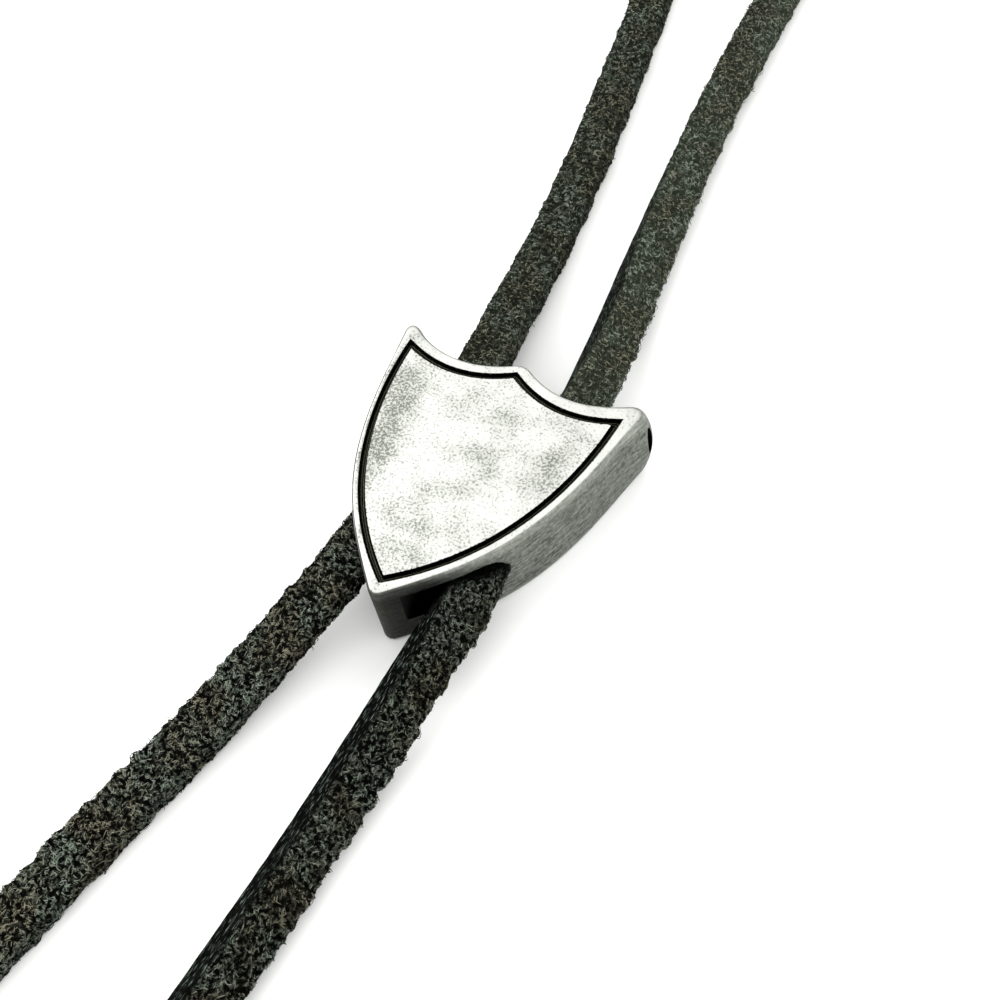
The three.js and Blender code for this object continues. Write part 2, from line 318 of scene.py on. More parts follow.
def stretch_of(line, start, end, steps):
    """Evenly spaced points on a line, from one count of its points up to another."""
    length = np.concatenate([[0], np.cumsum(np.linalg.norm(np.diff(line, axis=0), axis=1))])
    count = np.arange(len(line))
    a, b = np.interp((start, end), count, length)
    at = np.interp(np.linspace(a, b, steps, endpoint=False), length, count)
    return np.stack([np.interp(at, count, line[:, k]) for k in (0, 1)], 1)


def outline(size, distance=0.0):
    """A whole shield outline moved outwards by distance, counter-clockwise from its point."""
    side = bezier(size["point"], size["lower"], size["upper"], size["shoulder"], steps=160)
    top = sagging_line(size["shoulder"], size["cusp"], size["top_sag"], steps=80)
    side, top = beside(side, distance), beside(top, distance)
    low, high = OUTLINE_MIDDLE
    middle = np.array([(0.0, low), (0.0, high)])
    side_start, _ = meeting(side, middle)
    side_end, top_start = meeting(side, top)
    top_end, cusp_height = meeting(top, middle)
    right_side = stretch_of(side, side_start, side_end, SIDE_STEPS)
    right_top = stretch_of(top, top_start, top_end, TOP_STEPS)
    right = np.concatenate((right_side, right_top))
    cusp = (0.0, low + (high - low) * cusp_height)
    left = np.concatenate((right[1:], [cusp]))[::-1] * (-1, 1)
    x, y = np.concatenate((right, left)).T
    arch = ramp(x, *RIGHT_ARCH["from_middle"]) * ramp(x, *RIGHT_ARCH["from_outside"])
    arch = arch * ramp(y, *RIGHT_ARCH["from_below"])
    across = x + size.get("slant", 0) * y + size.get("aside", 0)
    return np.stack((across, y + size.get("right_up", 0) * arch), 1)


def corner_reach(line):
    """How far round each point the outline is evened out: most at its corners."""
    corners = {
        "point": 0,
        "right_shoulder": SIDE_STEPS,
        "cusp": SIDE_STEPS + TOP_STEPS,
        "left_shoulder": SIDE_STEPS + 2 * TOP_STEPS,
    }
    reach = np.full(len(line), SIDE_SOFT)
    for name, i in corners.items():
        gap = np.linalg.norm(line - line[i], axis=1)
        soft = CORNER_SOFT[name]
        reach = np.maximum(reach, soft * ramp(gap / soft, *CORNER_FADE))
    return reach


def softened(line):
    """The outline with its corners rounded as in a casting: each point is the mean of a stretch."""
    dense = 12
    around = np.concatenate([line, line[:1]])
    t = np.arange(len(line) * dense) / dense
    fine = np.stack([np.interp(t, np.arange(len(around)), around[:, k]) for k in (0, 1)], 1)
    steps = np.linalg.norm(np.diff(np.concatenate([fine, fine[:1]]), axis=0), axis=1)
    length = np.concatenate([[0], np.cumsum(steps)])
    whole = length[-1]
    walked = np.concatenate([length[:-1] - whole, length[:-1], length[:-1] + whole])
    total = np.cumsum(np.concatenate([fine] * 3) * np.concatenate([steps] * 3)[:, None], axis=0)
    middle = length[:-1][::dense]
    reach = corner_reach(line)

    def up_to(s):
        return np.stack([np.interp(s, walked, total[:, k]) for k in (0, 1)], 1)

    return (up_to(middle + reach) - up_to(middle - reach)) / (2 * reach[:, None])


# ---- The shield ----


def outer_edge(height, distance=0.0):
    """The casting's outer edge at a height: its shoulders are fuller halfway up the wall, and draw
    in at the foot."""
    edge = softened(outline(OUTER_EDGE, distance))
    way = unit(np.roll(edge, -1, 0) - np.roll(edge, 1, 0))
    out = np.stack((way[:, 1], -way[:, 0]), 1)
    shoulder = np.array(OUTER_EDGE["shoulder"])
    gaps = [np.linalg.norm(edge - shoulder * (side, 1), axis=1) for side in (1, -1)]
    near = np.exp(-((np.minimum(*gaps) / SHOULDER_SWELL["reach"]) ** 2))
    share = math.sin(math.pi * min(max(height / THICK, 0), 1)) ** SHOULDER_SWELL["fullness"]
    foot = SHOULDER_SWELL["foot"] * near * (1 - height / THICK) ** 2
    swell = np.where(edge[:, 0] > 0, SHOULDER_SWELL["right"], SHOULDER_SWELL["left"])
    return edge + out * (swell * share * near + foot)[:, None]


def filled(ring, height, shares):
    """Rings that shrink towards the middle of a flat area."""
    middle = np.array(FACE_MIDDLE)
    return [(middle + (ring - middle) * share, height) for share in shares]


def shield_rings():
    """The casting's skin as rings from the middle of its back to the middle of its face."""
    rings = filled(outer_edge(0, -FOOT_ROUND), 0, (0.04, 0.4, 0.8))
    for turn in np.radians((0, 18, 36, 54, 72)):
        height = FOOT_ROUND * (1 - math.cos(turn))
        rings.append((outer_edge(height, FOOT_ROUND * (math.sin(turn) - 1)), height))
    for height in np.linspace(FOOT_ROUND, THICK - RIM_ROUND, 26):
        rings.append((outer_edge(height), height))
    for turn in np.radians((18, 36, 54, 72, 90)):
        height = THICK - RIM_ROUND * (1 - math.sin(turn))
        rings.append((outer_edge(height, RIM_ROUND * (math.cos(turn) - 1)), height))
    rim = rings[-1][0]
    lip = outline(ENGRAVED_LINE, GROOVE_HALF)
    for share in (0.35, 0.7, 1.0):
        rings.append((rim + (lip - rim) * share, THICK))
    for side, wall in ((1, GROOVE_WALL), (-1, GROOVE_WALL[-2::-1])):
        for across, down in wall:
            ring = outline(ENGRAVED_LINE, side * GROOVE_HALF * across)
            rings.append((ring, THICK - GROOVE_DEPTH * down))
    rings += filled(outline(ENGRAVED_LINE, -GROOVE_HALF), THICK, np.linspace(1, 0.03, 24))
    return rings


def skin_faces(rings, count, turn=1):
    """Faces of a closed skin through so many rings of count points each. turn is 1 when the rings
    run counter-clockwise, seen from beyond the last one, and -1 when they run clockwise."""
    faces = []
    for row in range(rings - 1):
        for i in range(count):
            j = (i + 1) % count
            a, b = row * count, (row + 1) * count
            faces.append((a + i, *(a + j, b + j, b + i)[::turn]))
    faces.append(tuple(range(count))[::-turn])
    last = (rings - 1) * count
    faces.append(tuple(range(last, last + count))[::turn])
    return faces


def skin(rings):
    """Points and faces of a closed skin through rings, each given with its height."""
    count = len(rings[0][0])
    points = np.concatenate([np.c_[ring, np.full(count, height)] for ring, height in rings])
    return points, skin_faces(len(rings), count)


def slot_section(half, end_round, steps=9):
    """An oblong with oval ends, seen along the slot: across and height."""
    low, high = SLOT_FLOOR, SLOT_CEILING
    turns = np.radians(np.linspace(-90, 90, 2 * steps - 1))
    across = half - end_round * (1 - np.cos(turns))
    right = np.c_[across, (low + high) / 2 + (high - low) / 2 * np.sin(turns)]
    return np.concatenate([right, right[::-1] * (-1, 1)])


def slot_skin():
    rings = [(slot_section(row["half"], row["round"]), row["y"]) for row in SLOT_STATIONS]
    points, faces = skin(rings)
    return points[:, [0, 2, 1]], faces


def post_skin():
    """The post that closes the slide's point, with a round inner end."""
    turns = np.radians(np.linspace(0, 180, 13))
    half, bottom = POST["half"], POST["bottom"]
    round_end = np.c_[half * np.cos(turns), POST["top"] + half * np.sin(turns)]
    plan = np.concatenate([[(-half, bottom), (half, bottom)], round_end])
    return skin([(plan, POST["low"]), (plan, POST["high"])])


def raw_mesh(name, points, faces):
    mesh = bpy.data.meshes.new(name)
    mesh.from_pydata((np.asarray(points) * MM + np.array(HOME)).tolist(), [], faces)
    mesh.validate()
    return mesh


def in_scene(name, mesh):
    piece = bpy.data.objects.new(name, mesh)
    bpy.context.scene.collection.objects.link(piece)
    return piece


def cut_away(body, tool):
    """Subtracts tool from body, and removes the tool."""
    step = body.modifiers.new("cut", "BOOLEAN")
    step.operation = "DIFFERENCE"
    step.solver = "EXACT"
    step.material_mode = "TRANSFER"
    step.object = tool
    graph = bpy.context.evaluated_depsgraph_get()
    body.data = bpy.data.meshes.new_from_object(body.evaluated_get(graph))
    body.modifiers.clear()
    bpy.data.objects.remove(tool)
    return body


def face_out(mesh):
    """Turns all faces outwards."""
    work = bmesh.new()
    work.from_mesh(mesh)
    bmesh.ops.recalc_face_normals(work, faces=work.faces)
    work.to_mesh(mesh)
    work.free()


def shield_slide():
    """The casting with its slot cut. The slot's faces keep the slot's material, so they can be told
    apart from the rest afterwards."""
    plain, blackened = (bpy.data.materials.new(name) for name in ("plain", "blackened"))
    solids = []
    for name, make, material in (
        ("shield_slide_visual", lambda: skin(shield_rings()), plain),
        ("slot", slot_skin, blackened),
        ("post", post_skin, blackened),
    ):
        mesh = raw_mesh(name, *make())
        face_out(mesh)
        mesh.materials.append(material)
        solids.append(in_scene(name, mesh))
    blank, slot, post = solids
    return cut_away(blank, cut_away(slot, post))


def outline_gap(points, line):
    """Signed distance of points from a closed outline: negative inside it."""
    gap = np.full(len(points), np.inf)
    inside = np.zeros(len(points), bool)
    for a, b in zip(line, np.roll(line, -1, 0)):
        way = b - a
        t = np.clip(((points - a) @ way) / (way @ way), 0, 1)
        gap = np.minimum(gap, np.linalg.norm(points - a - t[:, None] * way, axis=1))
        spans = (a[1] > points[:, 1]) != (b[1] > points[:, 1])
        with np.errstate(divide="ignore", invalid="ignore"):
            cross = a[0] + (points[:, 1] - a[1]) / (b[1] - a[1]) * way[0]
        inside ^= spans & (points[:, 0] < cross)
    return np.where(inside, -gap, gap)


def mesh_points(mesh):
    points = np.empty(len(mesh.vertices) * 3)
    mesh.vertices.foreach_get("co", points)
    return (points.reshape(-1, 3) - np.array(HOME)) / MM


def carry(mesh, name, values, each="POINT"):
    """Stores a number for each point or face of a mesh, for its material to read."""
    stored = mesh.attributes.new(name, "FLOAT", each)
    stored.data.foreach_set("value", np.asarray(values, np.float32))


def mark_finish(mesh):
    """Gives the material what it needs to know: the slot's faces, which stay black, how far across
    the engraved line a point is, and how much the face has greyed there."""
    in_slot = np.empty(len(mesh.polygons), np.int32)
    mesh.polygons.foreach_get("material_index", in_slot)
    carry(mesh, "in_slot", in_slot, "FACE")
    mesh.polygons.foreach_set("material_index", np.zeros_like(in_slot))

    points = mesh_points(mesh)
    flat, height = points[:, :2], points[:, 2]
    below_face, on_face = height < THICK - 0.02, height > THICK - 0.01
    # Across the line, 1 is its edge. What is cut in stays within inside, and the rest ends at far.
    inside, near, far = 0.9, 2.5, 3
    across = outline_gap(flat, outline(ENGRAVED_LINE)) / GROOVE_HALF
    cut_in = below_face & (np.abs(across) < near)
    across = np.where(cut_in, np.clip(across, -inside, inside), np.clip(across, -far, far))
    carry(mesh, "across_line", np.where(height > THICK - 2 * GROOVE_DEPTH, across, far))
    grey = np.zeros(len(points))
    for spot in TARNISH:
        x = (flat[:, 0] - spot["x"]) / spot["across"]
        y = (flat[:, 1] - spot["y"]) / spot["along"]
        grey = 1 - (1 - grey) * (1 - spot["strength"] * np.exp(-(x**2 + y**2) / TARNISH_FADE))
    carry(mesh, "tarnish", grey * on_face)


# ---- The lace's route and section ----


def neck_loop():
    turn = math.radians(NECK_LOOP_LEAN)

    def station(out, along):
        x = NECK_LOOP_FOOT[0] + out * math.cos(turn) - along * math.sin(turn)
        y = NECK_LOOP_FOOT[1] + out * math.sin(turn) + along * math.cos(turn)
        return {"x": x, "y": y, **NECK_LOOP_EDGES}

    right = [station(row["out"], row["along"]) for row in NECK_LOOP_SIDE]
    left = [station(-row["out"], row["along"]) for row in NECK_LOOP_SIDE]
    return right + left[::-1]


def lace_stations():
    """The whole lace from the right tail's end round the neck to the left tail's end.
    first and second are the nap on its edges: first lies on the left of the right strand."""
    stations = [
        {**row, "roll": row["lean"], "first": row["left"], "second": row["right"]}
        for row in RIGHT_STRAND + neck_loop()
    ]
    for row in LEFT_STRAND[::-1]:
        stations.append({**row, "roll": -row["lean"], "first": row["right"], "second": row["left"]})
    return stations


def middle_height(row):
    """How high the middle of the lace's section lies, when its lowest edge has the row's lift."""
    lean = math.radians(row["lean"])
    tall = LACE_WIDTH * math.sin(lean) + LACE_THICK * math.cos(lean)
    return LACE_CLEARANCE + row["lift"] + tall / 2


def smooth_curve(points, steps):
    """A centripetal Catmull-Rom curve through the points, in so many steps from each to the next."""
    ends = [2 * points[0] - points[1], *points, 2 * points[-1] - points[-2]]
    t = np.linspace(0, 1, steps, endpoint=False)[:, None]
    places = []
    for a, b, c, d in zip(ends, ends[1:], ends[2:], ends[3:]):
        before, here, after = (math.sqrt(np.linalg.norm(q - p)) for p, q in ((a, b), (b, c), (c, d)))
        leave = ((b - a) / before - (c - a) / (before + here) + (c - b) / here) * here
        arrive = ((c - b) / here - (d - b) / (here + after) + (d - c) / after) * here
        square = 3 * (c - b) - 2 * leave - arrive
        cube = leave + arrive - 2 * (c - b)
        places.append(b + leave * t + square * t**2 + cube * t**3)
    return np.concatenate([*places, [points[-1]]])


def turned(vectors, axes, angles):
    """Vectors turned about axes that they stand square to."""
    return vectors * np.cos(angles)[:, None] + np.cross(axes, vectors) * np.sin(angles)[:, None]


class Lace:
    """The lace's route: its place, first side and face at any distance from the right tail's end."""

    def __init__(self, stations, steps=40):
        self.stations = stations
        points = np.array([(row["x"], row["y"], middle_height(row)) for row in stations])
        self.point = smooth_curve(points, steps)
        self.way = unit(np.gradient(self.point, axis=0))
        self.s = np.concatenate([[0], np.cumsum(np.linalg.norm(np.diff(self.point, axis=0), axis=1))])
        self.station_s = self.s[::steps]
        self.length = self.s[-1]
        level = unit(np.cross((0, 0, 1), self.way))
        self.side = turned(level, self.way, np.radians(self.of("roll", self.s)))
        self.face = np.cross(self.way, self.side)

    def of(self, column, s):
        return np.interp(s, self.station_s, [row[column] for row in self.stations])

    def look_up(self, vectors, s):
        return np.stack([np.interp(s, self.s, vectors[:, k]) for k in range(3)], -1)


def lace_section(steps=5):
    """Round the lace from the middle of its face over its first side: how far round each place is,
    where it is (across, up) and which way it faces."""
    w, t, r = LACE_WIDTH / 2, LACE_THICK / 2, LACE_CORNER
    corners = [(w - r, t - r, 90), (w - r, r - t, 0), (r - w, r - t, -90), (r - w, t - r, -180)]
    places, facing = [(0.0, t)], [(0.0, 1.0)]
    for x, y, start in corners:
        for turn in np.radians(np.linspace(start, start - 90, steps)):
            places.append((x + r * math.cos(turn), y + r * math.sin(turn)))
            facing.append((math.cos(turn), math.sin(turn)))
    places.append((0.0, t))
    facing.append((0.0, 1.0))
    places, facing = np.array(places), np.array(facing)
    around = np.concatenate([[0], np.cumsum(np.linalg.norm(np.diff(places, axis=0), axis=1))])
    return around, places, facing


AROUND, SECTION, FACING = lace_section()
GIRTH = AROUND[-1]
FIRST_SIDE = LACE_WIDTH / 2 + LACE_THICK / 2
SECOND_SIDE = GIRTH - FIRST_SIDE


def hump(value, middle, half):
    """1 about the middle, fading out just past half away from it."""
    none, full = 1.25, 0.9
    return ramp(np.abs(value - middle) / half, none, full)


def nap_share(lace, s, v):
    """How much nap there is at a place on the lace."""
    v = v % GIRTH
    first = hump(v, FIRST_SIDE, LACE_THICK / 2)
    second = hump(v, SECOND_SIDE, LACE_THICK / 2)
    under = hump(v, GIRTH / 2, LACE_WIDTH / 2) * UNDERSIDE_BARE
    share = 1 - first * (1 - lace.of("first", s)) - second * (1 - lace.of("second", s))
    return np.clip(share - under, 0, 1)


def uneven(s, v, size, seed):
    """Smooth random values from -1 to 1 over the lace's surface, in lumps of a size."""
    rows, columns = int(ROUTE_LIMIT / size), max(3, round(GIRTH / size))
    grid = np.random.default_rng(seed).uniform(-1, 1, (rows, columns))
    x, y = s / size, (v % GIRTH) / GIRTH * columns
    i, j = np.floor(x).astype(int), np.floor(y).astype(int)
    a, b = x - i, y - j
    a, b = a * a * (3 - 2 * a), b * b * (3 - 2 * b)
    i, j, k, m = i % rows, j % columns, (i + 1) % rows, (j + 1) % columns
    here = grid[i, j] * (1 - a) + grid[k, j] * a
    beyond = grid[i, m] * (1 - a) + grid[k, m] * a
    return here * (1 - b) + beyond * b


def on_lace(lace, s, v, height):
    """Places at a height above the lace's uneven skin, and the skin's outward direction there."""
    point, side, face = (lace.look_up(vectors, s) for vectors in (lace.point, lace.side, lace.face))
    across, up = (np.interp(v % GIRTH, AROUND, SECTION[:, k])[..., None] for k in (0, 1))
    out_across, out_up = (np.interp(v % GIRTH, AROUND, FACING[:, k])[..., None] for k in (0, 1))
    out = unit(side * out_across + face * out_up)
    rough = nap_share(lace, s, v)
    lumps = sum(
        (row["height"] + row["nap"] * rough) * uneven(s, v, row["size"], row["seed"]) for row in LUMPS
    )
    return point + side * across + face * up + out * (height + lumps)[..., None], out


def lace_skin(lace):
    """Rings along the lace: close together by the shield, wider apart round the neck."""
    loop_start, loop_end = lace.station_s[LOOP_START], lace.station_s[LOOP_END]
    stretches = [
        np.arange(0, loop_start, SKIN_STEP["near"]),
        np.arange(loop_start, loop_end, SKIN_STEP["far"]),
        np.arange(loop_end, lace.length, SKIN_STEP["near"]),
    ]
    s = np.append(np.concatenate(stretches), lace.length)
    v = np.concatenate([np.linspace(a, b, 5, endpoint=False) for a, b in flat_stretches()])
    grid_s, grid_v = np.meshgrid(s, v, indexing="ij")
    points, _ = on_lace(lace, grid_s.ravel(), grid_v.ravel(), np.zeros(grid_s.size))
    return points, skin_faces(len(s), len(v), turn=-1), grid_s.ravel(), grid_v.ravel()


def flat_stretches():
    """The section's faces, sides and corners, so that its points lie close at the corners."""
    arc = LACE_CORNER * math.pi / 2
    half_face, side = LACE_WIDTH / 2 - LACE_CORNER, LACE_THICK - 2 * LACE_CORNER
    under = LACE_WIDTH - 2 * LACE_CORNER
    lengths = [half_face, arc, side, arc, under, arc, side, arc, half_face]
    ends = np.cumsum([0, *lengths])
    ends = ends / ends[-1] * GIRTH
    return list(zip(ends, ends[1:]))


def suede_lace(lace):
    points, faces, s, v = lace_skin(lace)
    off_table = 0.01
    points[:, 2] = np.maximum(points[:, 2], off_table)
    mesh = raw_mesh("suede_lace", points, faces)
    face_out(mesh)
    carry(mesh, "along", s)
    carry(mesh, "around", v)
    first = hump(v, FIRST_SIDE, LACE_THICK / 2) * (1 - lace.of("first", s))
    second = hump(v, SECOND_SIDE, LACE_THICK / 2) * (1 - lace.of("second", s))
    carry(mesh, "cut", np.clip(first + second, 0, 1))
    # Painted shade: the lace is darkened in the slide and for a little way out of it.
    out_of_slide = outline_gap(points[:, :2], outer_edge(THICK / 2)) / SLIDE_SHADE_REACH
    carry(mesh, "slide_shade", np.clip(1 - out_of_slide, 0, 1))
    return in_scene("suede_lace", mesh)


# ---- The nap ----


def fibre_roots(lace, row, rng):
    """Random places for a stretch's fibres, more where the lace has more nap."""
    start, end = lace.station_s[row["from"]], lace.station_s[row["to"]]
    roots_s, roots_v = np.empty(0), np.empty(0)
    while len(roots_s) < row["fibres"]:
        s = rng.uniform(start, end, row["fibres"])
        v = rng.uniform(0, GIRTH, row["fibres"])
        kept = rng.uniform(0, 1, len(s)) < nap_share(lace, s, v)
        roots_s, roots_v = np.append(roots_s, s[kept]), np.append(roots_v, v[kept])
    return roots_s[: row["fibres"]], roots_v[: row["fibres"]]


def fibre_lines(lace, row, rng):
    """The bent middle line of each fibre, the outward direction along it, and how pale each place
    of it may be: the cut sides stay dark, and painted shade darkens the edges and the stretch in
    and just out of the slide."""
    s, v = fibre_roots(lace, row, rng)
    count = len(s)
    length = row["long"] * rng.uniform(*FIBRE["length"], count)
    heading = rng.uniform(0, 2 * math.pi, count)
    curl = rng.normal(0, FIBRE["curl"], count)
    whisker = rng.uniform(0, 1, count) < WHISKER["share"]
    rise = np.radians(np.where(whisker, WHISKER["slope"], rng.uniform(*LYING["slope"], count)))
    fall = rise * np.where(whisker, WHISKER["fall"], rng.uniform(*LYING["fall"], count))
    height = np.full(count, FIBRE["root"])
    up_shield = lace.look_up(lace.point, s)[:, 1]
    in_slide = (up_shield > IN_SLIDE["from"]) & (up_shield < IN_SLIDE["to"])
    side_step = 0.6
    by_edge = np.minimum(nap_share(lace, s, v - side_step), nap_share(lace, s, v + side_step))
    tallest = np.where(whisker, WHISKER["tallest"], LYING["tallest"]) * by_edge
    tallest = np.where(in_slide, IN_SLIDE["tallest"], tallest)
    lowest, highest = 0.01, 0.03 + tallest
    off_table, edge_shade = 0.03, 0.4
    casting = outer_edge(THICK / 2)
    line, outward, shown = [], [], []
    for _ in range(row["points"]):
        place, out = on_lace(lace, s, v, height)
        place[:, 2] = np.maximum(place[:, 2], off_table)
        line.append(place)
        outward.append(out)
        # Painted shade darkens the fibres on the lace's sides, and those in and just out of the slide.
        edge = sum(hump(v % GIRTH, side, LACE_THICK / 2) for side in (SECOND_SIDE, FIRST_SIDE))
        out_of_slide = np.clip(outline_gap(place[:, :2], casting) / SLIDE_SHADE_REACH, 0, 1)
        shown.append(nap_share(lace, s, v) * (1 - edge_shade * edge) * out_of_slide)
        step = length / (row["points"] - 1)
        s = np.clip(s + step * np.cos(rise) * np.cos(heading), 0, lace.length)
        moved = v + step * np.cos(rise) * np.sin(heading)
        has_nap = nap_share(lace, s, moved) > 0.3
        v = np.where(has_nap, moved, v)
        height = np.clip(height + step * np.sin(rise), lowest, highest)
        heading = heading + curl + rng.normal(0, FIBRE["kink"], count)
        rise = rise - fall
    return np.stack(line, 1), np.stack(outward, 1), np.stack(shown, 1)


def fibre_tubes(line, outward, thick, rng):
    """Three-sided tubes along the lines, thinning towards their ends and closed there in a point."""
    count, places, _ = line.shape
    way = unit(np.gradient(line, axis=1))
    level = unit(np.cross(way, outward) + 1e-6)
    up = np.cross(level, way)
    coarseness, taper = rng.uniform(0.6, 1.3, (count, 1)), np.linspace(1, 0.45, places)
    radius = thick / 2 * coarseness * taper
    turns = np.radians((90, 210, 330))
    rings = [
        line[:, :-1] + (level[:, :-1] * math.cos(t) + up[:, :-1] * math.sin(t)) * radius[:, :-1, None]
        for t in turns
    ]
    body = np.stack(rings, 2).reshape(count, -1, 3)
    points = np.concatenate([body, line[:, -1:]], 1)
    pattern = []
    for ring in range(places - 2):
        for i in range(3):
            j, a, b = (i + 1) % 3, ring * 3, ring * 3 + 3
            pattern += [(a + i, a + j, b + j), (a + i, b + j, b + i)]
    tip = (places - 1) * 3
    pattern += [(tip - 3 + i, tip - 3 + (i + 1) % 3, tip) for i in range(3)]
    pattern.append((2, 1, 0))
    faces = np.array(pattern)[None] + np.arange(count)[:, None, None] * (tip + 1)
    return points.reshape(-1, 3), faces.reshape(-1, 3)


def nap_piece(lace, row, seed):
    rng = np.random.default_rng(seed)
    line, outward, shown = fibre_lines(lace, row, rng)
    points, faces = fibre_tubes(line, outward, row["thick"], rng)
    mesh = bpy.data.meshes.new(row["piece"])
    mesh.from_pydata((points * MM + np.array(HOME)).tolist(), [], faces.tolist())
    # A fibre's paleness: chance dye wear, times its stretch's pale, which is partly painted light,
    # times shown, which holds painted shade.
    tone = np.clip(rng.uniform(0, 1, (len(line), 1)) * row["pale"], 0, 1) * shown
    tone = np.concatenate([np.repeat(tone[:, :-1], 3, axis=1), tone[:, -1:]], 1)
    carry(mesh, "tone", tone.ravel())
    return in_scene(row["piece"], mesh)


# ---- Materials ----


def linear(hex_colour):
    """An sRGB hex colour as linear RGBA."""
    parts = [int(hex_colour[i : i + 2], 16) / 255 for i in (1, 3, 5)]
    return (*(c / 12.92 if c <= 0.04045 else ((c + 0.055) / 1.055) ** 2.4 for c in parts), 1.0)


def add(tree, kind, inputs=None, out=0, **settings):
    """Adds a node with its settings and gives back one of its outputs. inputs gives its sockets, by
    name or number, a value, a hex colour or the output that feeds it. A MapRange's sockets are 0 the
    value, 1 and 2 the stretch it runs over, 3 and 4 what that becomes: 0 and 1 unless given."""
    node = tree.nodes.new("ShaderNode" + kind)
    for name, value in settings.items():
        setattr(node, name, value)
    for socket, value in (inputs or {}).items():
        if isinstance(value, bpy.types.NodeSocket):
            tree.links.new(value, node.inputs[socket])
        else:
            node.inputs[socket].default_value = linear(value) if isinstance(value, str) else value
    return node.outputs[out] if node.outputs else node


def new_material(name):
    material = bpy.data.materials.new(name)
    material.use_nodes = True
    material.node_tree.nodes.clear()
    return material, material.node_tree


def millimetres(tree):
    """Coordinates in millimetres in the shield's own frame."""
    metres = add(tree, "TexCoord", out="Object")
    from_home = add(tree, "VectorMath", {0: metres, 1: HOME}, operation="SUBTRACT")
    return add(tree, "VectorMath", {0: from_home, "Scale": 1 / MM}, operation="SCALE")


